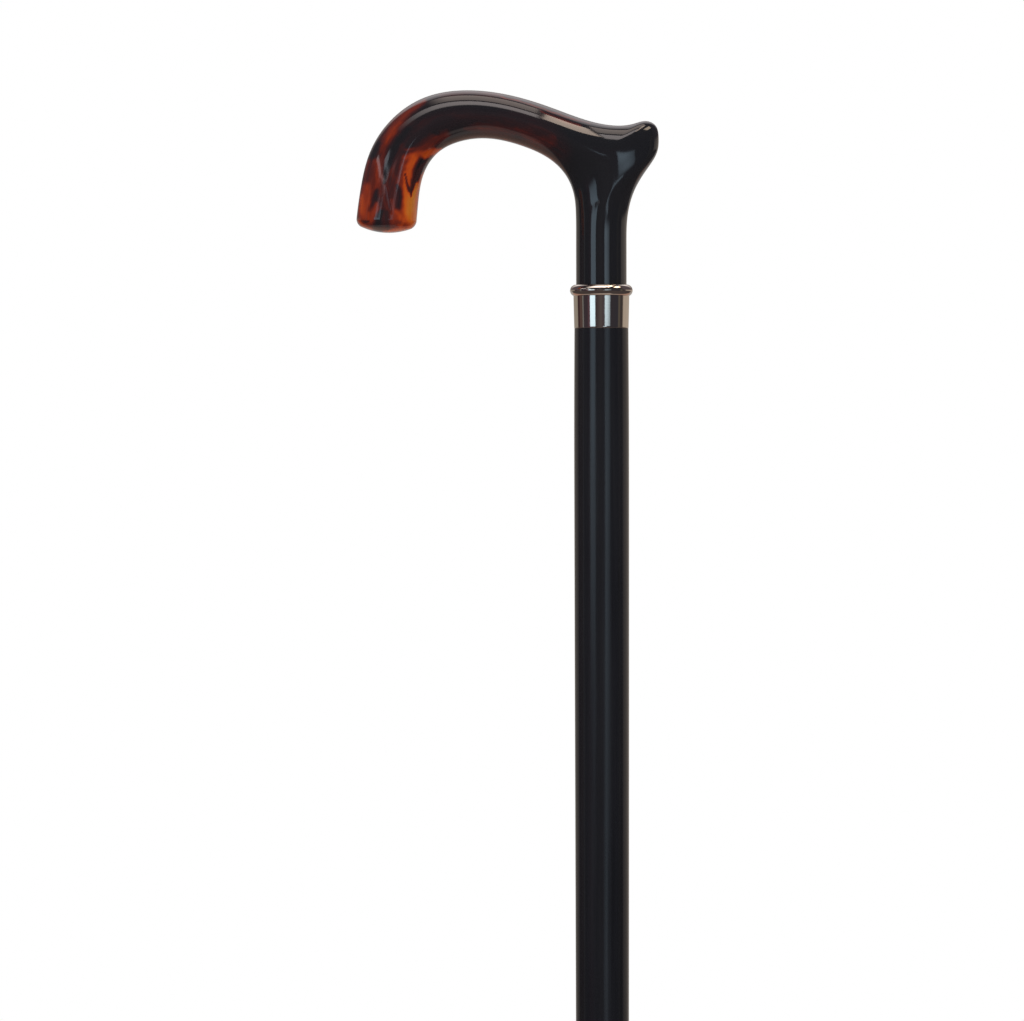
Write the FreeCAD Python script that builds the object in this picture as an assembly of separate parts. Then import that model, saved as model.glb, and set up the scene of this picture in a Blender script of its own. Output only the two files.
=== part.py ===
import FreeCAD, Part
import math
import os

# A derby handle cane. Lengths are in millimetres, angles in degrees.
# +Z runs up the shaft, +X points to the nose of the handle, and the drop end of the handle is on -X.
# The origin is the middle of the ferrule's sole, where the cane meets the ground.

# The cane as a whole
OVERALL_HEIGHT = 914.0
FIT_CLEARANCE = 0.05
CUT_OVERRUN = 2.0

# Handle
HANDLE_RISE = 71.0
HANDLE_REACH = 110.3
HANDLE_WIDTH = 22.8
NECK_DIAMETER = 18.43
NECK_STRAIGHT_LENGTH = 15.0
NECK_DEPTH_IN_COLLAR = 5.0
END_DOME_RADIUS = 24.0
END_EDGE_RADIUS = 2.0

# Collar
COLLAR_LENGTH = 16.0
COLLAR_FOOT_DIAMETER = 19.85
COLLAR_SLEEVE_DIAMETER = 20.4
COLLAR_BEAD_DIAMETER = 22.86
COLLAR_WALL = 0.5
COLLAR_EDGE_RADIUS = 0.25

# Shaft
SHAFT_TOP_DIAMETER = 19.7
SHAFT_SWELL_DIAMETER = 20.0
SHAFT_FOOT_DIAMETER = 18.0
SHAFT_SWELL_DROP = 30.0
FOOT_SHOULDER_CLEAR = 4.0
FOOT_EDGE_CHAMFER = 0.8

# Stud that joins the handle to the shaft
STUD_DIAMETER = 8.0
STUD_LENGTH = 70.0
STUD_CHAMFER = 1.0
STUD_END_ROOM = 1.0

# Ferrule and the washer in its bore
FERRULE_SOLE_THICKNESS = 12.0
FERRULE_BORE_DEPTH = 36.0
FERRULE_LIP_DIAMETER = 24.0
FERRULE_LIP_RADIUS = 1.0
FERRULE_WAIST_DIAMETER = 25.4
FERRULE_BASE_DIAMETER = 36.0
FERRULE_BASE_HEIGHT = 7.0
FERRULE_BASE_RADIUS = 1.6
FERRULE_FLARE_HEIGHT = 11.0
FERRULE_RIB_RADIUS = 0.9
FERRULE_RIB_PITCH = 4.2
FERRULE_RIB_DROP = 4.6
FERRULE_RIB_COUNT = 4
TREAD_GROOVE_DEPTH = 1.6
TREAD_GROOVE_WIDTH = 1.8
TREAD_PITCH = 3.8
TREAD_FIRST_RADIUS = 5.4
TREAD_GROOVE_COUNT = 3
WASHER_THICKNESS = 1.5
WASHER_DIAMETER = 17.6

# The handle seen from the side, as shares of its reach and its rise above the collar.
# Each outline starts at the end of the straight neck and goes over the arch to the drop end.
OUTER_OUTLINE_SHARES = (
    (0.088, 0.36), (0.109, 0.48), (0.148, 0.585), (0.187, 0.69), (0.1905, 0.755), (0.18, 0.818),
    (0.155, 0.84), (0.105, 0.826), (0.045, 0.818), (-0.055, 0.849), (-0.155, 0.905), (-0.30, 0.974),
    (-0.45, 1.0), (-0.585, 0.963), (-0.70, 0.84), (-0.766, 0.68), (-0.798, 0.48), (-0.8095, 0.35),
    (-0.817, 0.16),
)
INNER_OUTLINE_SHARES = (
    (-0.084, 0.36), (-0.090, 0.46), (-0.116, 0.56), (-0.165, 0.64), (-0.26, 0.713), (-0.385, 0.753),
    (-0.465, 0.738), (-0.54, 0.68), (-0.585, 0.58), (-0.603, 0.46), (-0.6105, 0.34), (-0.631, 0.07),
)

# The handle's sections fan out from one line across the cane, level with the top of the collar
# and below the finger gap. The first lie on the straight neck, the last beyond the drop end.
FAN_REACH_SHARE = -0.41
FAN_ANGLES = (6, 13, 18.5, 23, 26.5, 29.5, 32, 34, 35.8, 37.6, 39.4, 41.2, 43, 45, 47.5, 50.5, 54, 58.5,
              64, 71, 79, 87, 95, 103, 110, 117, 124, 131, 138, 145, 152, 160)

# How the sections change round the fan: angle, width halfway along the section, and the radii of the
# section's inner end and of its outer end, all three as shares of the handle's width.
SECTION_FORM_SHARES = (
    (25, 0.812, 0.366, 0.355), (32, 0.830, 0.342, 0.285), (37, 0.850, 0.322, 0.220),
    (41, 0.870, 0.312, 0.215), (46, 0.907, 0.325, 0.330), (50.5, 0.940, 0.362, 0.450),
    (54, 0.962, 0.410, 0.525), (58.5, 0.982, 0.470, 0.590), (66, 1.0, 0.545, 0.640),
    (85, 0.992, 0.610, 0.675), (105, 0.970, 0.525, 0.581), (115, 0.960, 0.432, 0.475),
    (125, 0.950, 0.372, 0.405), (145, 0.927, 0.384, 0.407), (160, 0.910, 0.420, 0.449),
)
RING_POINTS = 24

# The middle of the drop end and its lowest point
END_REACH_SHARE = -0.7035
END_RISE_SHARE = 0.268

# The shaft's taper below its swell: share of the way down, and share of the thinning done there.
SHAFT_TAPER_SHARES = ((0.045, 0.0), (0.14, 0.1), (0.30, 0.32), (0.62, 0.68), (1.0, 1.0))

# Levels and diameters that follow from the sizes above
COLLAR_TOP = OVERALL_HEIGHT - HANDLE_RISE
COLLAR_FOOT = COLLAR_TOP - COLLAR_LENGTH
JOINT_LEVEL = COLLAR_TOP - NECK_DEPTH_IN_COLLAR
FERRULE_TOP = FERRULE_SOLE_THICKNESS + FERRULE_BORE_DEPTH
SHAFT_FOOT = FERRULE_SOLE_THICKNESS + WASHER_THICKNESS
BEAD_BORE_RADIUS = NECK_DIAMETER / 2 + FIT_CLEARANCE
TENON_RADIUS = COLLAR_FOOT_DIAMETER / 2 - COLLAR_WALL
SLEEVE_BORE_RADIUS = TENON_RADIUS + FIT_CLEARANCE
STUD_BORE_RADIUS = STUD_DIAMETER / 2 + FIT_CLEARANCE
STUD_FOOT = JOINT_LEVEL - STUD_LENGTH / 2


def at(x, z):
    return FreeCAD.Vector(x, 0, z)


def line(start, end):
    return Part.LineSegment(start, end).toShape()


def arc(start, through, end):
    return Part.Arc(start, through, end).toShape()


def corner_arc(centre, radius, start_angle, end_angle):
    """A round edge in the side view, given by its centre and the angles of its two ends."""
    points = []
    for angle in (start_angle, (start_angle + end_angle) / 2, end_angle):
        turn = math.radians(angle)
        points.append(centre + at(radius * math.cos(turn), radius * math.sin(turn)))
    return arc(*points)


def smooth_edge(points):
    curve = Part.BSplineCurve()
    curve.interpolate(Points=points)
    return curve.toShape()


def turned(edges):
    """A solid of revolution about the shaft's axis from the edges of its half profile."""
    face = Part.Face(Part.Wire(edges))
    solid = face.revolve(FreeCAD.Vector(), FreeCAD.Vector(0, 0, 1), 360)
    return solid if solid.Volume > 0 else solid.reversed()


def rod(radius, foot, top):
    return Part.makeCylinder(radius, top - foot, at(0, foot))


def section_forms():
    """A smooth curve that gives a section's width and its two end radii at any angle of the fan."""
    neck_share = NECK_DIAMETER / HANDLE_WIDTH
    rows = []
    for angle in FAN_ANGLES[:2]:
        slant_share = neck_share / 2 * math.cos(math.radians(angle))
        rows.append((angle, neck_share, slant_share, slant_share))
    rows.extend(SECTION_FORM_SHARES)
    curve = Part.BSplineCurve()
    curve.interpolate(Points=[FreeCAD.Vector(row[1:]) * HANDLE_WIDTH for row in rows],
                      Parameters=[row[0] for row in rows])
    return curve


def handle_outline(shares, neck_side):
    """One outline of the handle in the side view, begun by three points on the straight neck."""
    neck_x = neck_side * NECK_DIAMETER / 2
    points = [at(neck_x, COLLAR_TOP + NECK_STRAIGHT_LENGTH * part) for part in (0, 1 / 2, 1)]
    for x_share, z_share in shares:
        points.append(at(x_share * HANDLE_REACH, COLLAR_TOP + z_share * HANDLE_RISE))
    curve = Part.BSplineCurve()
    curve.interpolate(Points=points)
    return curve


def crossing(curve, start, direction):
    """Where a ray of the fan meets an outline."""
    ray = Part.LineSegment(start, start + direction * HANDLE_REACH)
    hit = curve.intersect(ray)[0]
    return FreeCAD.Vector(hit.X, hit.Y, hit.Z)


def ring(inner, outer, width, inner_radius, outer_radius):
    """A closed section from the inner outline to the outer one, as wide as given at its middle."""
    centre = (inner + outer) / 2
    half_depth = (outer - inner) / 2
    inner_reach = math.sqrt(inner_radius * half_depth.Length)
    outer_reach = math.sqrt(outer_radius * half_depth.Length)
    taper = (outer_reach - inner_reach) / 2
    fullness = (outer_reach + inner_reach - width) / 2
    points = []
    for step in range(RING_POINTS):
        turn = 2 * math.pi * step / RING_POINTS
        out = math.cos(turn)
        reach = width / 2 + taper * out + fullness * out ** 2
        points.append(centre + half_depth * out + FreeCAD.Vector(0, reach * math.sin(turn), 0))
    curve = Part.BSplineCurve()
    steps = [step / RING_POINTS for step in range(RING_POINTS + 1)]
    curve.interpolate(Points=points, PeriodicFlag=True, Parameters=steps)
    return curve


def skin(rings):
    """A solid with one smooth side that runs through all the rings, and a flat face at each end."""
    halfway = rings[0].NbPoles // 2 + 1
    levels = [0]
    for before, after in zip(rings, rings[1:]):
        outer_step = (after.getPole(1) - before.getPole(1)).Length
        inner_step = (after.getPole(halfway) - before.getPole(halfway)).Length
        levels.append(levels[-1] + (outer_step + inner_step) / 2)
    strands = []
    for number in range(1, rings[0].NbPoles + 1):
        strand = Part.BSplineCurve()
        strand.interpolate(Points=[section.getPole(number) for section in rings], Parameters=levels)
        strands.append(strand)
    surface = Part.BSplineSurface()
    surface.buildFromPolesMultsKnots(
        [strand.getPoles() for strand in strands],
        rings[0].getMultiplicities(), strands[0].getMultiplicities(),
        rings[0].getKnots(), strands[0].getKnots(), True, False, rings[0].Degree, strands[0].Degree)
    side = surface.toShape()
    ends = [Part.Face(Part.Wire(edge)) for edge in side.Edges if edge.Closed]
    shell = Part.makeShell([side] + ends)
    shell.sewShape()
    solid = Part.makeSolid(shell.Shells[0])
    return solid if solid.Volume > 0 else solid.reversed()


def handle():
    """The sculpted handle: a straight neck that swells into the nose, the arch and the drop end."""
    outer_outline = handle_outline(OUTER_OUTLINE_SHARES, 1)
    inner_outline = handle_outline(INNER_OUTLINE_SHARES, -1)
    fan = at(FAN_REACH_SHARE * HANDLE_REACH, COLLAR_TOP)
    forms = section_forms()
    neck_radius = NECK_DIAMETER / 2
    rings = []
    for level in (JOINT_LEVEL, COLLAR_TOP):
        rings.append(ring(at(-neck_radius, level), at(neck_radius, level), NECK_DIAMETER,
                          neck_radius, neck_radius))
    for angle in FAN_ANGLES:
        direction = at(math.cos(math.radians(angle)), math.sin(math.radians(angle)))
        inner = crossing(inner_outline, fan, direction)
        outer = crossing(outer_outline, fan, direction)
        rings.append(ring(inner, outer, *forms.value(angle)))
    body = with_domed_end(skin(rings))
    bore_top = STUD_FOOT + STUD_LENGTH + STUD_END_ROOM
    return body.cut(rod(STUD_BORE_RADIUS, JOINT_LEVEL - CUT_OVERRUN, bore_top))


def with_domed_end(body):
    """Cuts the drop end to a shallow dome and rounds the edge round it."""
    lowest = at(END_REACH_SHARE * HANDLE_REACH, COLLAR_TOP + END_RISE_SHARE * HANDLE_RISE)
    dome = Part.makeSphere(END_DOME_RADIUS, lowest + at(0, END_DOME_RADIUS))
    block_foot = lowest - FreeCAD.Vector(HANDLE_WIDTH, HANDLE_WIDTH, HANDLE_WIDTH)
    block_rise = HANDLE_WIDTH + END_DOME_RADIUS / 2
    block = Part.makeBox(2 * HANDLE_WIDTH, 2 * HANDLE_WIDTH, block_rise, block_foot)
    body = body.cut(block.cut(dome))
    rim = [edge for edge in body.Edges if is_dome_rim(edge, lowest)]
    return body.makeFillet(END_EDGE_RADIUS, rim)


def is_dome_rim(edge, lowest):
    box = edge.BoundBox
    near = (box.Center - lowest).Length < HANDLE_WIDTH / 2
    return near and box.ZMax < lowest.z + END_DOME_RADIUS / 4


def collar():
    """A turned sleeve whose top is a half-round bead about the neck."""
    bead_radius = COLLAR_BEAD_DIAMETER / 2 - BEAD_BORE_RADIUS
    bead_centre = at(BEAD_BORE_RADIUS, COLLAR_TOP - bead_radius)
    sleeve_top_radius = COLLAR_SLEEVE_DIAMETER / 2
    bead_end_angle = -math.degrees(math.acos((sleeve_top_radius - BEAD_BORE_RADIUS) / bead_radius))
    bead = corner_arc(bead_centre, bead_radius, 90, bead_end_angle)
    foot_radius = COLLAR_FOOT_DIAMETER / 2
    edge_centre = at(foot_radius - COLLAR_EDGE_RADIUS, COLLAR_FOOT + COLLAR_EDGE_RADIUS)
    foot_edge = corner_arc(edge_centre, COLLAR_EDGE_RADIUS, 0, -90)
    bead_start = bead.valueAt(bead.FirstParameter)
    bead_end = bead.valueAt(bead.LastParameter)
    foot_start = foot_edge.valueAt(foot_edge.FirstParameter)
    foot_end = foot_edge.valueAt(foot_edge.LastParameter)
    inside = [at(SLEEVE_BORE_RADIUS, COLLAR_FOOT), at(SLEEVE_BORE_RADIUS, JOINT_LEVEL),
              at(BEAD_BORE_RADIUS, JOINT_LEVEL)]
    edges = [bead, line(bead_end, foot_start), foot_edge, line(foot_end, inside[0]),
             line(inside[0], inside[1]), line(inside[1], inside[2]), line(inside[2], bead_start)]
    return turned(edges)


def shaft_outline():
    """The shaft's side from under the collar down to its parallel foot."""
    top = SHAFT_TOP_DIAMETER / 2
    swell = SHAFT_SWELL_DIAMETER / 2
    foot = SHAFT_FOOT_DIAMETER / 2
    taper_top = COLLAR_FOOT - SHAFT_SWELL_DROP
    taper_foot = FERRULE_TOP + FOOT_SHOULDER_CLEAR
    points = [at(top, COLLAR_FOOT), at(swell, taper_top)]
    for way, thinning in SHAFT_TAPER_SHARES:
        points.append(at(swell + (foot - swell) * thinning, taper_top + (taper_foot - taper_top) * way))
    return smooth_edge(points)


def shaft():
    """The wooden shaft with its tenon in the collar and its parallel foot in the ferrule."""
    foot = SHAFT_FOOT_DIAMETER / 2
    chamfer = FOOT_EDGE_CHAMFER
    side = shaft_outline()
    points = [at(foot, FERRULE_TOP + FOOT_SHOULDER_CLEAR), at(foot, SHAFT_FOOT + chamfer),
              at(foot - chamfer, SHAFT_FOOT), at(0, SHAFT_FOOT), at(0, JOINT_LEVEL),
              at(TENON_RADIUS, JOINT_LEVEL), at(TENON_RADIUS, COLLAR_FOOT),
              at(SHAFT_TOP_DIAMETER / 2, COLLAR_FOOT)]
    edges = [side] + [line(start, end) for start, end in zip(points, points[1:])]
    body = turned(edges)
    bore_foot = STUD_FOOT - STUD_END_ROOM
    return body.cut(rod(STUD_BORE_RADIUS, bore_foot, JOINT_LEVEL + CUT_OVERRUN))


def joining_stud():
    """The steel stud with a chamfer at each end."""
    stud = rod(STUD_DIAMETER / 2, STUD_FOOT, STUD_FOOT + STUD_LENGTH)
    ends = [edge for edge in stud.Edges if edge.Closed]
    return stud.makeChamfer(STUD_CHAMFER, ends)


def ferrule():
    """The rubber ferrule: ribbed sleeve, flared base, tread rings and the bore for the shaft."""
    lip = FERRULE_LIP_DIAMETER / 2
    waist = FERRULE_WAIST_DIAMETER / 2
    base = FERRULE_BASE_DIAMETER / 2
    flare_top = FERRULE_BASE_HEIGHT + FERRULE_FLARE_HEIGHT
    bore = SHAFT_FOOT_DIAMETER / 2 + FIT_CLEARANCE
    lip_edge = corner_arc(at(lip - FERRULE_LIP_RADIUS, FERRULE_TOP - FERRULE_LIP_RADIUS),
                          FERRULE_LIP_RADIUS, 90, 0)
    shoulder_radius = FERRULE_BASE_RADIUS
    shoulder = corner_arc(at(base - shoulder_radius, FERRULE_BASE_HEIGHT - shoulder_radius),
                          shoulder_radius, 90, 0)
    sole_edge = corner_arc(at(base - shoulder_radius, shoulder_radius), shoulder_radius, 0, -90)
    lip_start = lip_edge.valueAt(lip_edge.FirstParameter)
    lip_end = lip_edge.valueAt(lip_edge.LastParameter)
    shoulder_start = shoulder.valueAt(shoulder.FirstParameter)
    shoulder_end = shoulder.valueAt(shoulder.LastParameter)
    sole_start = sole_edge.valueAt(sole_edge.FirstParameter)
    sole_end = sole_edge.valueAt(sole_edge.LastParameter)
    flare_start = at(waist, flare_top)
    flare_run = shoulder_start.x - waist
    flare_through = at(waist + flare_run * (1 - math.sqrt(0.5)),
                       flare_top - (flare_top - shoulder_start.z) * math.sqrt(0.5))
    edges = [lip_edge, line(lip_end, flare_start), arc(flare_start, flare_through, shoulder_start),
             shoulder, line(shoulder_end, sole_start), sole_edge, line(sole_end, at(0, 0)),
             line(at(0, 0), at(0, FERRULE_SOLE_THICKNESS)),
             line(at(0, FERRULE_SOLE_THICKNESS), at(bore, FERRULE_SOLE_THICKNESS)),
             line(at(bore, FERRULE_SOLE_THICKNESS), at(bore, FERRULE_TOP)),
             line(at(bore, FERRULE_TOP), lip_start)]
    body = turned(edges)
    for number in range(FERRULE_RIB_COUNT):
        level = FERRULE_TOP - FERRULE_RIB_DROP - FERRULE_RIB_PITCH * number
        way = (FERRULE_TOP - level) / (FERRULE_TOP - flare_top)
        radius = lip + (waist - lip) * way
        body = body.fuse(Part.makeTorus(radius, FERRULE_RIB_RADIUS, at(0, level)))
    for number in range(TREAD_GROOVE_COUNT):
        radius = TREAD_FIRST_RADIUS + TREAD_PITCH * number
        groove = rod(radius + TREAD_GROOVE_WIDTH, -CUT_OVERRUN, TREAD_GROOVE_DEPTH)
        groove = groove.cut(rod(radius, -CUT_OVERRUN, TREAD_GROOVE_DEPTH))
        body = body.cut(groove)
    return body.removeSplitter()


def ferrule_washer():
    """The steel disc between the end of the wood and the rubber."""
    return rod(WASHER_DIAMETER / 2, FERRULE_SOLE_THICKNESS, SHAFT_FOOT)


PIECES = {
    "handle": handle,
    "collar": collar,
    "shaft": shaft,
    "joining_stud": joining_stud,
    "ferrule": ferrule,
    "ferrule_washer": ferrule_washer,
}

os.makedirs("parts", exist_ok=True)
for name, make in PIECES.items():
    make().exportStep("parts/" + name + ".step")
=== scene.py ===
import math
from bisect import bisect_right

import bpy
from mathutils import Matrix, Vector, noise


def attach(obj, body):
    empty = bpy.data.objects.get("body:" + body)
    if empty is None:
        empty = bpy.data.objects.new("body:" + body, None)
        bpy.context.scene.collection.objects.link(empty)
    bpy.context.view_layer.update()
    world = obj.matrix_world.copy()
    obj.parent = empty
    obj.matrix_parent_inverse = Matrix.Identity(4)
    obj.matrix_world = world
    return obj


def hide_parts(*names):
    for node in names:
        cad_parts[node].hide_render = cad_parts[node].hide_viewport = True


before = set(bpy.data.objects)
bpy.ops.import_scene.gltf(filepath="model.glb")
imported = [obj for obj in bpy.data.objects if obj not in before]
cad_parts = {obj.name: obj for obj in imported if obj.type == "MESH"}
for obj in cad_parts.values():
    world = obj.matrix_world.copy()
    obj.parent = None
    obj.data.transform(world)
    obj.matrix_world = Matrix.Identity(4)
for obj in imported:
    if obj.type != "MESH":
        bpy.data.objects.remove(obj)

# A derby handle cane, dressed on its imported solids. Metres; +Z runs up the shaft, +X to the nose.
# The camera looks along +Y, so the front is on -Y.

for start_object in ("Cube", "Light", "Camera"):
    if start_object in bpy.data.objects:
        bpy.data.objects.remove(bpy.data.objects[start_object])

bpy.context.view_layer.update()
MM = 0.001

# Sizes that the solids have
COLLAR_TOP = 843 * MM
COLLAR_FOOT = 827 * MM
JOINT_LEVEL = 838 * MM
HANDLE_RISE = 71 * MM
HANDLE_REACH = 110.3 * MM
HANDLE_WIDTH = 22.8 * MM
NECK_RADIUS = 9.215 * MM
NECK_STRAIGHT_LENGTH = 15 * MM
END_DOME_RADIUS = 24 * MM
END_EDGE_RADIUS = 2 * MM
STUD_BORE_RADIUS = 4.05 * MM
STUD_BORE_TOP = 874 * MM
STUD_BORE_FOOT = 802 * MM
FERRULE_TOP = 48 * MM
SHAFT_FOOT = 13.5 * MM
FERRULE_SOLE = 12 * MM

# The handle's side view, as shares of its reach and its rise above the collar
OUTER_OUTLINE_SHARES = (
    (0.088, 0.36), (0.109, 0.48), (0.148, 0.585), (0.187, 0.69), (0.1905, 0.755), (0.18, 0.818),
    (0.155, 0.84), (0.105, 0.826), (0.045, 0.818), (-0.055, 0.849), (-0.155, 0.905), (-0.30, 0.974),
    (-0.45, 1.0), (-0.585, 0.963), (-0.70, 0.84), (-0.766, 0.68), (-0.798, 0.48), (-0.8095, 0.35),
    (-0.817, 0.16),
)
INNER_OUTLINE_SHARES = (
    (-0.084, 0.36), (-0.090, 0.46), (-0.116, 0.56), (-0.165, 0.64), (-0.26, 0.713), (-0.385, 0.753),
    (-0.465, 0.738), (-0.54, 0.68), (-0.585, 0.58), (-0.603, 0.46), (-0.6105, 0.34), (-0.631, 0.07),
)

# The handle's sections fan out from one line; each has a width and two end radii, as shares of
# the handle's width.
FAN_REACH_SHARE = -0.41
FAN_LAST_ANGLE = 160
SECTION_FORM_SHARES = (
    (25, 0.812, 0.366, 0.355), (32, 0.830, 0.342, 0.285), (37, 0.850, 0.322, 0.220),
    (41, 0.870, 0.312, 0.215), (46, 0.907, 0.325, 0.330), (50.5, 0.940, 0.362, 0.450),
    (54, 0.962, 0.410, 0.525), (58.5, 0.982, 0.470, 0.590), (66, 1.0, 0.545, 0.640),
    (85, 0.992, 0.610, 0.675), (105, 0.970, 0.525, 0.581), (115, 0.960, 0.432, 0.475),
    (125, 0.950, 0.372, 0.405), (145, 0.927, 0.384, 0.407), (160, 0.910, 0.420, 0.449),
)
NECK_ANGLES = (6, 13)
END_REACH_SHARE = -0.7035
END_RISE_SHARE = 0.268

# How finely the handle is meshed
FAN_STEPS = 640
HANDLE_ROWS = 340
HANDLE_COLUMNS = 112
EDGE_STEPS = 7
DOME_RINGS = 14
SEARCH_STEPS = 30
CORNER_SEARCH_STEPS = 24
EDGE_SEARCH_STEP = 0.05 * MM

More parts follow.
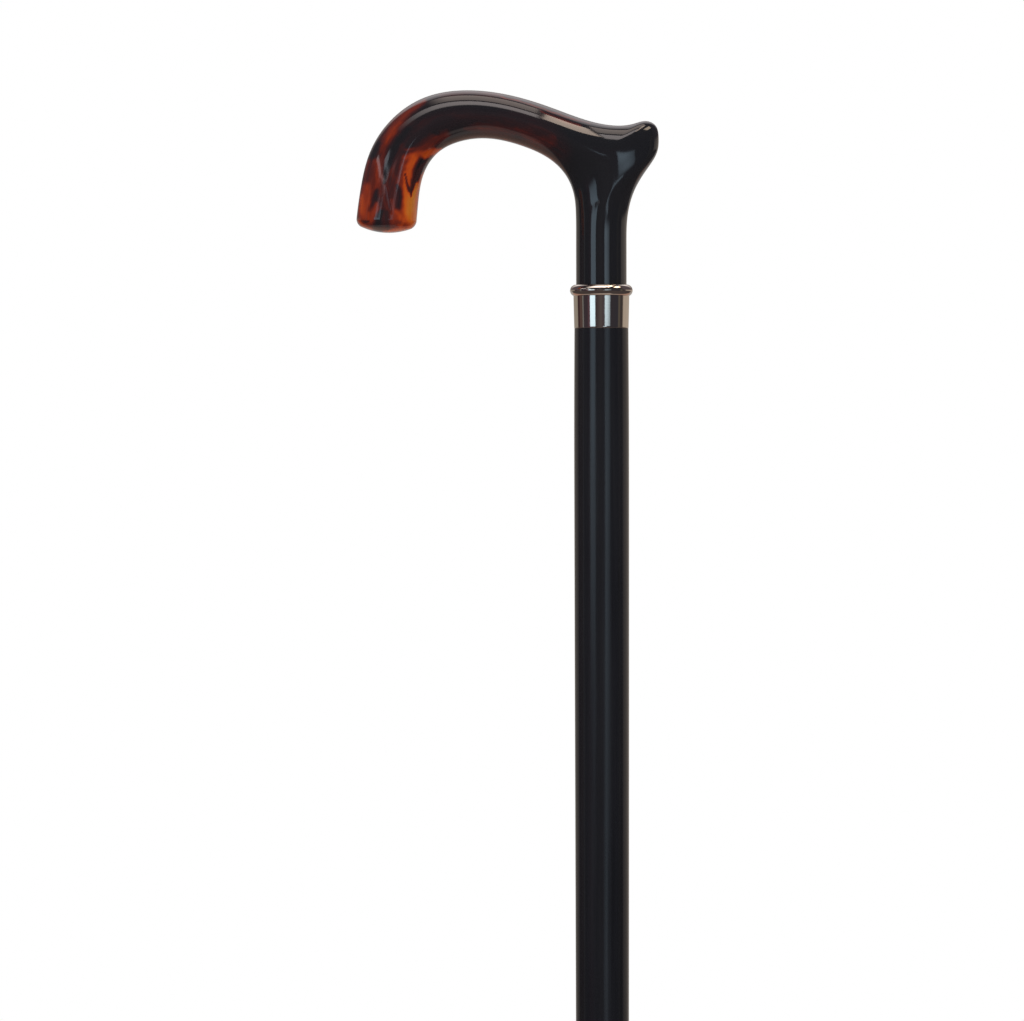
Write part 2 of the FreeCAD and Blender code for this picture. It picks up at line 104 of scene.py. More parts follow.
# The tortoiseshell of the handle, brushed on its side view. Some thin warm strokes along the inner
# edge of the arch and round the bottom rim of the drop are painted glow, light coming through the thin
# acrylic there. A stroke has a warmth from 0, black, to 1, amber, then how soft its edge is, then its
# points in millimetres: forward of the shaft's axis, above the collar, and half its width there. Later
# strokes cover earlier ones.
PAINT_STROKES = (
    (0.14, 1.00, ((-76.1, 48.6, 7.28), (-68.8, 57.3, 8.01), (-53.2, 63.1, 8.73), (-36.8, 61.7, 8.73),
        (-22.2, 55.1, 7.28), (-14.2, 47.9, 4))),
    (0.32, 0.50, ((-78.3, 40.6, 9.82), (-78.3, 21.3, 15.28))),
    (0.43, 1.00, ((-64.4, 66.8, 1.09), (-70.3, 63.1, 2.18), (-75, 58.8, 3.27), (-77.9, 53.7, 3.27),
        (-80.1, 48.6, 2.18))),
    (0.50, 1.10, ((-73.2, 59.1, 0.73), (-76.1, 55.5, 1.27), (-78.3, 51.5, 0.91))),
    (0.03, 1.00, ((-81.2, 51.5, 1.09), (-83.4, 47.5, 2.18), (-85.5, 43.9, 0.91))),
    (0.03, 1.10, ((-67.3, 61, 1.46), (-62.3, 63.5, 2.18), (-54.2, 65.3, 2.91), (-42.6, 64.6, 2.91),
        (-35, 63.9, 1.82))),
    (0.02, 1.00, ((-70.3, 56.6, 1.09), (-73.5, 52.6, 1.82), (-75.7, 48.6, 2.18), (-77.2, 44.6, 1.64),
        (-78.6, 41, 1.09), (-79, 36.9, 0.58))),
    (0.09, 1.10, ((-68.8, 53, 1.82), (-64.4, 55.1, 2.18), (-60.1, 58.1, 1.82), (-55, 59.9, 1.46))),
    (0.38, 1.10, ((-65.9, 49.3, 2.18), (-61.5, 51.9, 3.09), (-56.4, 54.4, 1.82))),
    (0.07, 1.00, ((-61.2, 55.5, 0.91), (-59.7, 55.1, 0.91))),
    (0.03, 0.90, ((-55.7, 52.2, 0.91), (-52.4, 53.7, 1.64), (-48.4, 54.8, 1.27), (-45.2, 53.7, 0.73))),
    (0.31, 1.30, ((-49.9, 56.6, 0.73), (-44.1, 56.8, 1.82), (-38.2, 56.6, 2.37), (-32.4, 55.1, 1.82))),
    (0.32, 1.10, ((-30.6, 55.9, 1.46), (-27.3, 54, 2.55), (-23.7, 51.9, 2.18), (-18.6, 51.5, 2.18))),
    (0.24, 1.10, ((-22.2, 50, 1.09), (-19.7, 51.9, 1.6), (-17.5, 53.3, 1.09))),
    (0.05, 0.90, ((-30.2, 51.1, 0.55), (-25.9, 50.4, 0.73), (-21.1, 48.2, 0.73))),
    # Painted glow: this stroke and the next run along the inner edge of the arch, lighter red where light
    # comes through the thin acrylic.
    (0.42, 1.00, ((-35.3, 52.6, 0.55), (-29.5, 50.8, 0.73), (-23, 48, 0.87), (-18.6, 45.7, 0.95),
        (-15.7, 42.4, 0.65), (-13.5, 39.1, 0.36))),
    (0.50, 0.90, ((-56.8, 49.9, 0.58), (-53.5, 51.3, 0.51), (-48.4, 52.6, 0.44), (-42.6, 53, 0.36),
        (-36.8, 52.6, 0.36))),
    (0.42, 0.90, ((-36.8, 68.4, 0.33), (-29.5, 66.6, 0.4), (-20.4, 63.7, 0.44), (-12, 60.8, 0.44),
        (-4, 58.4, 0.29))),
    (0.26, 1.10, ((-58.6, 69, 0.95), (-47.7, 69.7, 1.09), (-36.8, 69, 1.09))),
    (0.36, 1.20, ((-22.2, 63.1, 0.51), (-17.9, 61, 0.95), (-12.8, 59, 1.02), (-7.7, 57.5, 0.8))),
    (0.00, 0.60, ((-6.2, 47.9, 4.73), (-0.4, 38.4, 6.55), (14.2, 48.6, 8.01))),
    (0.33, 1.00, ((-84.8, 45, 1.46), (-85.5, 39.9, 1.82), (-85.9, 35.9, 1.46))),
    (0.47, 1.10, ((-81.9, 44.6, 1.46), (-81.2, 39.1, 1.82), (-81.9, 33.7, 1.6))),
    (0.24, 1.10, ((-76.8, 37.7, 1.46), (-76.8, 32.6, 1.64), (-77.2, 28.2, 1.27))),
    (0.20, 1.10, ((-72.4, 50.4, 1.09), (-73.2, 45.7, 1.46), (-74.3, 40.6, 1.27))),
    (0.44, 1.10, ((-72.4, 44.2, 1.09), (-73.2, 39.9, 1.24), (-73.5, 36.2, 1.09))),
    (0.60, 1.00, ((-85.5, 35.5, 1.82), (-86.3, 30.8, 3.46), (-86.6, 25.3, 3.27))),
    (0.68, 1.20, ((-87.4, 31.9, 1.09), (-87.4, 26.8, 1.27))),
    (0.12, 1.00, ((-81.9, 34, 0.87), (-82.5, 30.8, 1.31))),
    (0.20, 1.00, ((-82.8, 30.4, 1.09), (-84.2, 27.1, 0.8))),
    (0.24, 1.00, ((-80.4, 30.4, 0.87), (-79, 26.8, 0.95))),
    (0.56, 1.00, ((-81.9, 29.3, 0.87), (-82.6, 26.4, 2.18), (-83.7, 23.5, 2.18))),
    (0.12, 1.10, ((-74.3, 35.9, 0.65), (-73.5, 31.9, 1.24), (-74, 27.9, 1.24))),
    (0.06, 0.90, ((-80.1, 26.4, 0.95), (-81.2, 23.5, 1.67), (-81.5, 20.2, 2.18))),
    (0.14, 0.90, ((-78.3, 26, 0.95), (-77.9, 22.4, 1.09), (-77.9, 20.2, 0.87))),
    (0.42, 1.00, ((-76.1, 30.4, 0.73), (-75.7, 26, 1.31), (-76.1, 21.3, 1.24))),
    (0.63, 1.00, ((-74.6, 26.4, 1.24), (-73.2, 23.8, 2.91), (-72.8, 20.2, 2.18))),
    (0.46, 1.00, ((-76.1, 22.8, 0.73), (-73.2, 22.4, 0.87))),
    (0.22, 0.90, ((-88.3, 22.9, 0.33), (-86.6, 22.8, 0.47), (-84.8, 22.8, 0.36))),
    (0.76, 0.80, ((-71.5, 40.6, 0.8), (-71.3, 34.8, 1.53), (-70.5, 29.3, 2.04), (-69.9, 24.2, 2.77))),
    (0.98, 0.90, ((-67.3, 36.2, 1.09), (-68.4, 32.2, 2.69), (-69.2, 27.9, 2.91), (-68.8, 24.6, 2.18))),
    (0.88, 1.00, ((-68.1, 25.3, 1.82), (-68.8, 21.3, 1.96))),
    (0.60, 1.00, ((-71.4, 46, 1.46), (-68.1, 47.1, 2.18), (-63.7, 48, 1.82), (-60.8, 49, 1.09))),
    (0.40, 1.00, ((-71, 49, 0.73), (-65.9, 49.5, 0.87), (-61.5, 50.6, 0.73))),
    (0.75, 0.80, ((-68.1, 45.7, 2.04), (-69.9, 42.4, 2.33), (-70.6, 38.4, 1.82), (-69.9, 35.1, 0.95))),
    (0.70, 0.90, ((-64.4, 46.8, 1.46), (-61.5, 47.9, 1.31), (-58.3, 49.3, 0.58))),
    (0.22, 0.70, ((-63.3, 45, 0.58), (-65.3, 42.8, 1.24), (-67.2, 39.9, 1.2), (-68.5, 36.2, 0.84),
        (-69.2, 34, 0.73), (-69.4, 32.2, 0.4))),
    (0.24, 0.80, ((-71.6, 40.2, 0.25), (-70.8, 37.3, 0.47), (-69.8, 34, 0.73))),
    (0.86, 0.90, ((-63.7, 42.4, 0.51), (-65.3, 39.1, 0.95), (-66.4, 35.5, 1.09))),
    # Painted glow: this stroke and the last run round the bottom rim of the drop, orange where light comes
    # through the thin acrylic.
    (0.66, 0.90, ((-88.8, 23.5, 0.58), (-87.2, 21.3, 0.95), (-84.1, 19.9, 0.87))),
    (0.78, 0.90, ((-79.7, 18.9, 0.58), (-76.1, 19.3, 1.02), (-71.7, 19.8, 1.16), (-68.4, 20.8, 1.09))),
)
# How far, in millimetres, the strokes wander on the far side, and how ragged their edges are
FAR_SWIRL_SIZE = 11
FAR_SWIRL_START = Vector((3.1, 0.7, 8.2))
FAR_SWIRL_REACH = 7.5
RAGGED_EDGE_SIZE = 2.6
RAGGED_EDGE_REACH = 0.35
# Beyond this many half widths a stroke leaves next to nothing.
STROKE_FADE_REACH = 1.6


# Meshes

def new_piece(name, points, faces, finish, smooth_angle=None):
    """A mesh object that rides on the cane, with one finish."""
    mesh = bpy.data.meshes.new(name)
    mesh.from_pydata(points, [], faces)
    mesh.validate()
    mesh.polygons.foreach_set("use_smooth", [True] * len(mesh.polygons))
    if smooth_angle is not None:
        mesh.set_sharp_from_angle(angle=math.radians(smooth_angle))
    mesh.materials.append(finish)
    mesh.update()
    piece = bpy.data.objects.new(name, mesh)
    bpy.context.scene.collection.objects.link(piece)
    return piece


def ring_points(radius, level, columns):
    """A level ring of points round the cane's axis."""
    turns = [2 * math.pi * column / columns for column in range(columns)]
    return [(radius * math.cos(turn), radius * math.sin(turn), level) for turn in turns]


def tube_faces(first, rows, columns):
    """Quads between rows of points that each run once round."""
    faces = []
    for row in range(rows - 1):
        start = first + row * columns
        for column in range(columns):
            after = (column + 1) % columns
            faces.append((start + column, start + after, start + columns + after,
                          start + columns + column))
    return faces


def fan_faces(pole, ring_start, columns, outward):
    """Triangles from a pole to the ring round it."""
    faces = []
    for column in range(columns):
        edge = (ring_start + column, ring_start + (column + 1) % columns)
        faces.append((pole,) + (edge if outward else edge[::-1]))
    return faces


def arc_points(centre, radius, start_angle, end_angle, steps):
    """Points of a round corner in a half profile, angles in degrees."""
    points = []
    for step in range(steps + 1):
        turn = math.radians(start_angle + (end_angle - start_angle) * step / steps)
        points.append((centre[0] + radius * math.cos(turn), centre[1] + radius * math.sin(turn)))
    return points


def turned(name, profile, columns, finish, smooth_angle=30):
    """A closed turned piece. Its half profile runs round the material, solid on its left."""
    points = []
    rings = []
    for radius, level in profile:
        if radius < 1e-7:
            rings.append((len(points), 1))
            points.append((0, 0, level))
            continue
        rings.append((len(points), columns))
        points += ring_points(radius, level, columns)
    faces = []
    closing = rings + [rings[0]]
    for (start, count), (after, after_count) in zip(closing, closing[1:]):
        if count == 1 and after_count == 1:
            continue
        for column in range(columns):
            other = (column + 1) % columns
            if count == 1:
                faces.append((start, after + other, after + column))
            elif after_count == 1:
                faces.append((start + column, start + other, after))
            else:
                faces.append((start + column, start + other, after + other, after + column))
    return new_piece(name, points, faces, finish, smooth_angle)


def spline(knots, values):
    """A function that runs smoothly through the values at the knots."""
    last = len(knots) - 1
    steps = [after - before for before, after in zip(knots, knots[1:])]
    slopes = [(values[i + 1] - values[i]) / steps[i] for i in range(last)]
    share = [0.0] * (last + 1)
    bend = [0.0] * (last + 1)
    for i in range(1, last):
        pivot = 2 * (steps[i - 1] + steps[i]) - steps[i - 1] * share[i - 1]
        share[i] = steps[i] / pivot
        bend[i] = (6 * (slopes[i] - slopes[i - 1]) - steps[i - 1] * bend[i - 1]) / pivot
    for i in range(last - 1, 0, -1):
        bend[i] -= share[i] * bend[i + 1]

    def value(knot):
        i = min(max(bisect_right(knots, knot) - 1, 0), last - 1)
        ahead = (knots[i + 1] - knot) / steps[i]
        behind = 1 - ahead
        curve = (ahead ** 3 - ahead) * bend[i] + (behind ** 3 - behind) * bend[i + 1]
        return ahead * values[i] + behind * values[i + 1] + curve * steps[i] ** 2 / 6

    return value


def smooth_step(value, low, high):
    share = min(max((value - low) / (high - low), 0.0), 1.0)
    return share * share * (3 - 2 * share)


# The handle's form

class Outline:
    """One outline of the handle in the side view, met by rays from the fan's line."""

    def __init__(self, shares, neck_side, fan):
        points = [(neck_side * NECK_RADIUS, COLLAR_TOP + NECK_STRAIGHT_LENGTH * part)
                  for part in (0, 0.5, 1)]
        points += [(x * HANDLE_REACH, COLLAR_TOP + z * HANDLE_RISE) for x, z in shares]
        knots = [0.0]
        for before, after in zip(points, points[1:]):
            knots.append(knots[-1] + math.dist(before, after))
        self.fan = fan
        self.length = knots[-1]
        self.x = spline(knots, [point[0] for point in points])
        self.z = spline(knots, [point[1] for point in points])

    def crossing(self, angle):
        low, high = 0.0, self.length
        for _ in range(SEARCH_STEPS):
            middle = (low + high) / 2
            seen = math.atan2(self.z(middle) - self.fan[1], self.x(middle) - self.fan[0])
            if seen < math.radians(angle):
                low = middle
            else:
                high = middle
        return Vector((self.x(low), 0, self.z(low)))


def handle_sections():
    """Closely spaced sections: level along the handle, inner point, outer point, and the form."""
    fan = (FAN_REACH_SHARE * HANDLE_REACH, COLLAR_TOP)
    outer_outline = Outline(OUTER_OUTLINE_SHARES, 1, fan)
    inner_outline = Outline(INNER_OUTLINE_SHARES, -1, fan)
    rows = []
    for angle in NECK_ANGLES:
        slant = NECK_RADIUS / HANDLE_WIDTH * math.cos(math.radians(angle))
        rows.append((angle, 2 * NECK_RADIUS / HANDLE_WIDTH, slant, slant))
    rows.extend(SECTION_FORM_SHARES)
    angles = [row[0] for row in rows]
    width_share, inner_share, outer_share = (
        spline(angles, [row[column] for row in rows]) for column in (1, 2, 3))
    neck_form = (2 * NECK_RADIUS, NECK_RADIUS, NECK_RADIUS)
    sections = []
    for level in (JOINT_LEVEL, COLLAR_TOP):
        sections.append((Vector((-NECK_RADIUS, 0, level)), Vector((NECK_RADIUS, 0, level)), neck_form))
    for step in range(1, FAN_STEPS + 1):
        angle = FAN_LAST_ANGLE * step / FAN_STEPS
        inner = inner_outline.crossing(angle)
        outer = outer_outline.crossing(angle)
        if angle < NECK_ANGLES[1]:
            slant = NECK_RADIUS * math.cos(math.radians(angle))
            form = (2 * NECK_RADIUS, slant, slant)
        else:
            form = tuple(share(angle) * HANDLE_WIDTH
                         for share in (width_share, inner_share, outer_share))
        sections.append((inner, outer, form))
    levels = [0.0]
    for before, after in zip(sections, sections[1:]):
        step = ((after[0] - before[0]).length + (after[1] - before[1]).length) / 2
        levels.append(levels[-1] + step)
    return levels, sections


def section_point(section, turn):
    """A point of a section; the turn is 0 at the outer outline and half a circle at the inner."""
    inner, outer, (width, inner_radius, outer_radius) = section
    half_depth = (outer - inner) / 2
    inner_reach = math.sqrt(inner_radius * half_depth.length)
    outer_reach = math.sqrt(outer_radius * half_depth.length)
    out = math.cos(turn)
    reach = (width + (outer_reach - inner_reach) * out
             + (outer_reach + inner_reach - width) * out ** 2) / 2
    return (inner + outer) / 2 + half_depth * out + Vector((0, reach * math.sin(turn), 0))


def between(levels, strand, level):
    """The point of a strand at a level."""
    i = min(max(bisect_right(levels, level) - 1, 0), len(levels) - 2)
    share = (level - levels[i]) / (levels[i + 1] - levels[i])
    return strand[i].lerp(strand[i + 1], share)


def strand_points(levels, strand, dome_centre):
    """One strand of the handle's mesh: along the side, round the end's edge, over the dome."""
    last = len(strand) - 1
    while (strand[last] - dome_centre).length > END_DOME_RADIUS:
        last -= 1
    low, high = levels[last], levels[last + 1]
    for _ in range(CORNER_SEARCH_STEPS):
        middle = (low + high) / 2
        if (between(levels, strand, middle) - dome_centre).length > END_DOME_RADIUS:
            high = middle
        else:
            low = middle
    corner = between(levels, strand, low)
    edge_level = low
    while (between(levels, strand, edge_level) - corner).length < END_EDGE_RADIUS:
        edge_level -= EDGE_SEARCH_STEP
    points = [between(levels, strand, edge_level * row / HANDLE_ROWS) for row in range(HANDLE_ROWS + 1)]
    pole = dome_centre - Vector((0, 0, END_DOME_RADIUS))
    inward = pole - corner
    outward = (corner - dome_centre).normalized()
    inward = (inward - outward * inward.dot(outward)).normalized()
    landing = corner + inward * END_EDGE_RADIUS
    landing = dome_centre + (landing - dome_centre).normalized() * END_DOME_RADIUS
    weight = math.sqrt(0.5)
    start = points[-1]
    for step in range(1, EDGE_STEPS + 1):
        way = step / EDGE_STEPS
        ends = (1 - way) ** 2, 2 * weight * way * (1 - way), way ** 2
        points.append((start * ends[0] + corner * ends[1] + landing * ends[2]) / sum(ends))
    for step in range(1, DOME_RINGS):
        spot = landing.lerp(pole, step / DOME_RINGS)
        points.append(dome_centre + (spot - dome_centre).normalized() * END_DOME_RADIUS)
    return points


def stroke_cover(softness, points, x, z):
    """How fully a stroke covers a spot of the side view, from 0 to 1."""
    nearest = math.inf
    for (x0, z0, r0), (x1, z1, r1) in zip(points, points[1:]):
        run_x, run_z = x1 - x0, z1 - z0
        along = ((x - x0) * run_x + (z - z0) * run_z) / (run_x * run_x + run_z * run_z)
        along = min(max(along, 0.0), 1.0)
        gap = math.hypot(x - x0 - run_x * along, z - z0 - run_z * along)
        nearest = min(nearest, gap / (r0 + (r1 - r0) * along))
    return 1 - smooth_step(nearest, 1 - softness, 1 + softness / 2)


def stroke_reach(points):
    """The box of the side view outside which a stroke leaves next to nothing."""
    widest = STROKE_FADE_REACH * max(point[2] for point in points)
    xs, zs = [point[0] for point in points], [point[1] for point in points]
    return min(xs) - widest, max(xs) + widest, min(zs) - widest, max(zs) + widest


def painted_warmth(spots):
    """The warmth at each point: the tortoiseshell, with painted glow along its thin rims. The strokes
    wander off on the far side.
    """
    strokes = [(warmth, softness, points, stroke_reach(points))
               for warmth, softness, points in PAINT_STROKES]
    warmths = []
    for spot in spots:
        place = Vector((spot.x, spot.y, spot.z - COLLAR_TOP)) / MM
        far_side = smooth_step(place.y, -3.0, 9.0)
        wander = noise.noise_vector(place / FAR_SWIRL_SIZE + FAR_SWIRL_START) * FAR_SWIRL_REACH * far_side
        wander += noise.noise_vector(place / RAGGED_EDGE_SIZE) * RAGGED_EDGE_REACH
        x, z = place.x + wander.x, place.z + wander.z
        value = 0.0
        for warmth, softness, points, (left, right, low, high) in strokes:
            if left < x < right and low < z < high:
                value += (warmth - value) * stroke_cover(softness, points, x, z)
        warmths.append(value)
    return warmths


def grain_places(points, rows, columns):
    """How far along the handle, across its section and to its side each point lies."""
    places = []
    along = 0.0
    for row in range(rows):
        ring = points[row * columns:(row + 1) * columns]
        middle = (ring[0] + ring[columns // 2]) / 2
        across = (ring[0] - ring[columns // 2]).normalized()
        if row:
            along += (middle - last_middle).length
        last_middle = middle
        places += [(along, (point - middle).dot(across), point.y) for point in ring]
    return places


def make_handle(finish):
    """The acrylic handle with its blind bore for the stud."""
    levels, sections = handle_sections()
    end = Vector((END_REACH_SHARE * HANDLE_REACH, 0, COLLAR_TOP + END_RISE_SHARE * HANDLE_RISE))
    dome_centre = end + Vector((0, 0, END_DOME_RADIUS))
    strands = []
    for column in range(HANDLE_COLUMNS):
        turn = 2 * math.pi * column / HANDLE_COLUMNS
        strand = [section_point(section, turn) for section in sections]
        strands.append(strand_points(levels, strand, dome_centre))
    rows = len(strands[0])
    points = [strand[row] for row in range(rows) for strand in strands]
    faces = tube_faces(0, rows, HANDLE_COLUMNS)
    pole = len(points)
    points.append(end)
    faces += fan_faces(pole, (rows - 1) * HANDLE_COLUMNS, HANDLE_COLUMNS, False)
    bore_start = len(points)
    for level in (STUD_BORE_TOP, JOINT_LEVEL):
        points += [Vector(point) for point in ring_points(STUD_BORE_RADIUS, level, HANDLE_COLUMNS)]
    faces += tube_faces(bore_start, 2, HANDLE_COLUMNS)
    bore_foot = bore_start + HANDLE_COLUMNS
    for column in range(HANDLE_COLUMNS):
        after = (column + 1) % HANDLE_COLUMNS
        faces.append((bore_foot + column, bore_foot + after, after, column))
    bore_pole = len(points)
    points.append(Vector((0, 0, STUD_BORE_TOP)))
    faces += fan_faces(bore_pole, bore_start, HANDLE_COLUMNS, False)
    piece = new_piece("handle_acrylic_body", points, faces, finish, 50)
    warmth = piece.data.attributes.new("warmth", "FLOAT", "POINT")
    warmth.data.foreach_set("value", painted_warmth(points))
    grain = piece.data.attributes.new("grain", "FLOAT_VECTOR", "POINT")
    places = grain_places(points, rows, HANDLE_COLUMNS)
    places += [(0.0, 0.0, 0.0)] * (len(points) - len(places))
    grain.data.foreach_set("vector", [number for place in places for number in place])
    dress(piece, "handle")


# Node trees

class Amount:
    """A number inside a node tree. Sums written with it add the nodes that work them out."""

    def __init__(self, nodes, socket):
        self.nodes = nodes
        self.socket = socket

    def maths(self, operation, *others):
        """One Math node, with this number in its first place."""
        sockets = dict(enumerate((self, *others)))
        return self.nodes.amount(self.nodes.add("ShaderNodeMath", {"operation": operation}, sockets))

    def __add__(self, other):
        return self.maths("ADD", other)

    __radd__ = __add__

    def __mul__(self, other):
        return self.maths("MULTIPLY", other)

    __rmul__ = __mul__

    def __sub__(self, other):
        return self.maths("SUBTRACT", other)

    def __rsub__(self, other):
        return (self * -1) + other

    def __truediv__(self, other):
        return self.maths("DIVIDE", other)

    def __pow__(self, other):
        return self.maths("POWER", other)

    def step(self, low, high):
        """Nought below low, one above high, smooth in between."""
        node = self.nodes.add("ShaderNodeMapRange", {"interpolation_type": "SMOOTHSTEP"},
                              {"Value": self, "From Min": low, "From Max": high})
        return self.nodes.amount(node)


class Nodes:
    """The nodes of one tree."""

    def add(self, kind, settings=None, sockets=None):
        """One node: its settings first, then the values or links of its sockets."""
        node = self.tree.nodes.new(kind)
        for key, value in (settings or {}).items():
            if key == "stops":
                self.set_stops(node.color_ramp, value)
            else:
                setattr(node, key, value)
        for key, value in (sockets or {}).items():
            if isinstance(value, Amount):
                value = value.socket
            if isinstance(value, bpy.types.NodeSocket):
                self.tree.links.new(value, node.inputs[key])
            else:
                node.inputs[key].default_value = value
        return node

    def amount(self, node, output=0):
        """One output of a node, as a number to work with."""
        return Amount(self, node.outputs[output])

    @staticmethod
    def set_stops(ramp, stops):
        """Gives a colour ramp its stops, each a place and a colour."""
        while len(ramp.elements) > 1:
            ramp.elements.remove(ramp.elements[-1])
        ramp.elements[0].position = stops[0][0]
        ramp.elements[0].color = (*stops[0][1], 1)
        for place, colour in stops[1:]:
            ramp.elements.new(place).color = (*colour, 1)


# The other pieces

def dress(piece, node):
    """Makes a piece ride on the cane in place of its solid."""
    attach(piece, "root")
    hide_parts(node)


def make_collar(finish):
    """The plated sleeve with its half-round bead."""
    bore = 9.265 * MM
    sleeve_bore = 9.475 * MM
    bead_radius = 11.43 * MM - bore
    sleeve_top = 10.2 * MM
    foot = 9.925 * MM
    edge = 0.25 * MM
    end_angle = -math.degrees(math.acos((sleeve_top - bore) / bead_radius))
    bead_steps, sleeve_steps = 28, 24
    bead = arc_points((bore, COLLAR_TOP - bead_radius), bead_radius, 90, end_angle, bead_steps)
    foot_edge = arc_points((foot - edge, COLLAR_FOOT + edge), edge, 0, -90, 5)
    bead_foot = bead[-1]
    sleeve = []
    for step in range(1, sleeve_steps):
        share = step / sleeve_steps
        sleeve.append((bead_foot[0] + (foot - bead_foot[0]) * share,
                       bead_foot[1] + (COLLAR_FOOT + edge - bead_foot[1]) * share))
    inside = [(sleeve_bore, COLLAR_FOOT), (sleeve_bore, JOINT_LEVEL), (bore, JOINT_LEVEL)]
    outline = bead + sleeve + foot_edge + inside
    dress(turned("collar_plated_sleeve", outline[::-1], 160, finish), "collar")


def make_shaft(finish):
    """The lacquered shaft with its tenon, its stud bore and its parallel foot."""
    swell_level = COLLAR_FOOT - 30 * MM
    taper_foot = FERRULE_TOP + 4 * MM
    swell = 10 * MM
    foot = 9 * MM
    levels = [COLLAR_FOOT, swell_level]
    radii = [9.85 * MM, swell]
    for way, thinning in ((0.045, 0.0), (0.14, 0.1), (0.30, 0.32), (0.62, 0.68), (1.0, 1.0)):
        levels.append(swell_level + (taper_foot - swell_level) * way)
        radii.append(swell + (foot - swell) * thinning)
    radius_at = spline([-level for level in levels], radii)
    side = []
    rows = 150
    for row in range(rows + 1):
        level = COLLAR_FOOT + (taper_foot - COLLAR_FOOT) * row / rows
        side.append((radius_at(-level), level))
    chamfer = 0.8 * MM
    tenon = 9.425 * MM
    outline = [(0, STUD_BORE_FOOT), (STUD_BORE_RADIUS, STUD_BORE_FOOT), (STUD_BORE_RADIUS, JOINT_LEVEL),
               (tenon, JOINT_LEVEL), (tenon, COLLAR_FOOT)]
    outline += side + [(foot, SHAFT_FOOT + chamfer), (foot - chamfer, SHAFT_FOOT), (0, SHAFT_FOOT)]
    dress(turned("shaft_beech", outline[::-1], 128, finish), "shaft")


def make_ferrule_body(finish):
    """The rubber ferrule without its ribs: lip, sleeve, flare, foot and tread rings."""
    lip, waist, base = 12 * MM, 12.7 * MM, 18 * MM
    bore = 9.05 * MM
    flare_top = 18 * MM
    base_height = 7 * MM
    edge = 1.6 * MM
    outline = [(0, FERRULE_SOLE), (bore, FERRULE_SOLE), (bore, FERRULE_TOP)]
    lip_edge = 1 * MM
    outline += arc_points((lip - lip_edge, FERRULE_TOP - lip_edge), lip_edge, 90, 0, 8)
    run, drop = base - edge - waist, flare_top - base_height
    flare_steps = 12
    for step in range(flare_steps + 1):
        turn = math.radians(90 * step / flare_steps)
        outline.append((waist + run * (1 - math.cos(turn)), flare_top - drop * math.sin(turn)))
    outline += arc_points((base - edge, base_height - edge), edge, 90, 0, 8)[1:]
    outline += arc_points((base - edge, edge), edge, 0, -90, 8)
    groove_depth, groove_width = 1.6 * MM, 1.8 * MM
    first_groove, groove_pitch = 5.4 * MM, 3.8 * MM
    round_off = 0.3 * MM
    for number in (2, 1, 0):
        inside = first_groove + groove_pitch * number
        outside = inside + groove_width
        outline += [(outside + round_off, 0), (outside, round_off), (outside, groove_depth),
                    (inside, groove_depth), (inside, round_off), (inside - round_off, 0)]
    outline += [(0, 0)]
    return turned("ferrule_body", outline[::-1], 128, finish, 40)


def make_washer(finish):
    """The pressed steel disc under the end of the wood."""
    edge = 0.25 * MM
    radius = 8.8 * MM
    outline = [(0, SHAFT_FOOT)]
    outline += arc_points((radius - edge, SHAFT_FOOT - edge), edge, 90, 0, 4)
    outline += arc_points((radius - edge, FERRULE_SOLE + edge), edge, 0, -90, 4)
    outline += [(0, FERRULE_SOLE)]
    dress(turned("washer_disc", outline[::-1], 96, finish), "ferrule_washer")


class Recipe(Nodes):
    """A Geometry Nodes tree with named sizes, for ribs and threads."""

    def __init__(self, name, sizes):
        """The sizes become the tree's inputs: each has a name, a kind and a value."""
        self.tree = bpy.data.node_groups.new(name, "GeometryNodeTree")
        self.tree.interface.new_socket("Geometry", in_out="OUTPUT", socket_type="NodeSocketGeometry")
        self.values = {}
        for label, kind, value in sizes:
            socket = self.tree.interface.new_socket(label, in_out="INPUT", socket_type="NodeSocket" + kind)
            self.values[socket.identifier] = value
        self.inputs = self.tree.nodes.new("NodeGroupInput")

    def finish_with(self, finish, last):
        """Ends the tree: its last node gets the finish."""
        coated = self.add("GeometryNodeSetMaterial", None,
                          {"Geometry": last.outputs["Geometry"], "Material": finish})
        self.add("NodeGroupOutput", None, {"Geometry": coated.outputs["Geometry"]})

    def made(self, name):
        """The plain mesh that the tree makes."""
        carrier = bpy.data.objects.new(name + "_carrier", bpy.data.meshes.new(name + "_carrier"))
        bpy.context.scene.collection.objects.link(carrier)
        modifier = carrier.modifiers.new(name, "NODES")
        modifier.node_group = self.tree
        for identifier, value in self.values.items():
            modifier[identifier] = value
        view = bpy.context.evaluated_depsgraph_get()
        mesh = bpy.data.meshes.new_from_object(carrier.evaluated_get(view))
        bpy.data.objects.remove(carrier)
        mesh.name = name
        piece = bpy.data.objects.new(name, mesh)
        bpy.context.scene.collection.objects.link(piece)
        return piece


